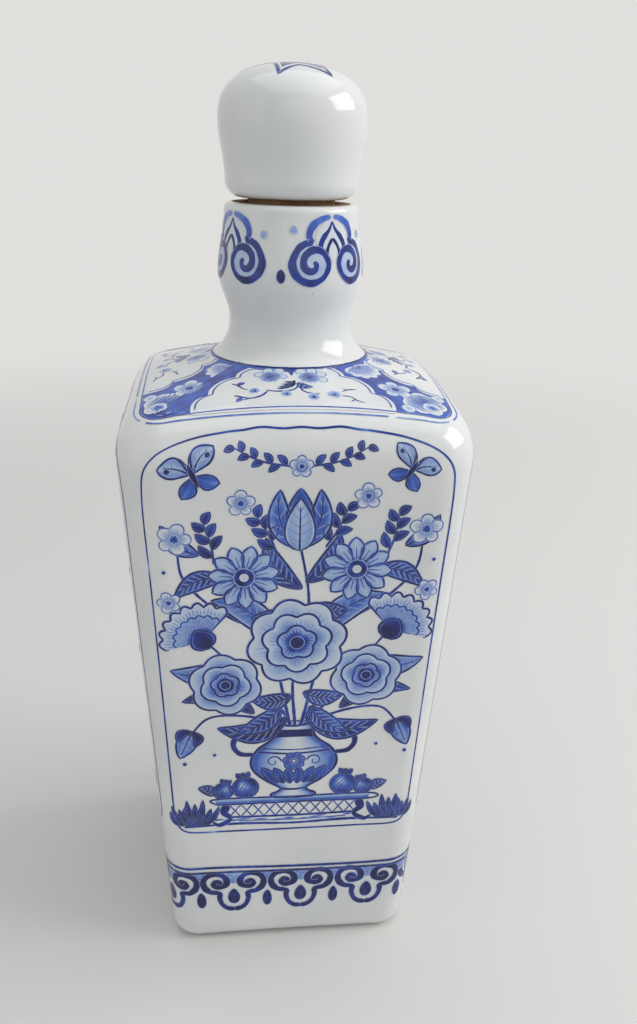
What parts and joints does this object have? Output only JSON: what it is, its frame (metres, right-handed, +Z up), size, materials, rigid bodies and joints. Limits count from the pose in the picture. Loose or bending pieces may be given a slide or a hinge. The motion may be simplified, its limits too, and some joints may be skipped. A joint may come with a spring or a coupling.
{
  "type": "square stoppered jug",
  "caption": "Square ceramic jug that widens to a sloping shoulder, with a round waisted neck and a corked ceramic knob that lifts out.",
  "frame": {"origin": "centre of the flat ring under the jug, on the surface that it stands on", "axes": "+Z up along the axis of the neck and the stopper, the front face looks along -Y and +X is to its right"},
  "size_m": [0.0978, 0.0978, 0.27],
  "materials": {
    "glazed_body": "gloss",
    "glazed_knob": "gloss",
    "cork": "matte"
  },
  "bodies": {
    "jug": {"bottle": "glazed_body"},
    "stopper": {"stopper_head": "glazed_knob", "stopper_cork": "cork"}
  },
  "joints": [
    {"name": "stopper_lift", "type": "slide", "parent": "jug", "child": "stopper", "axis": [0, 0, 1], "range_m": [0, 0.045]}
  ]
}
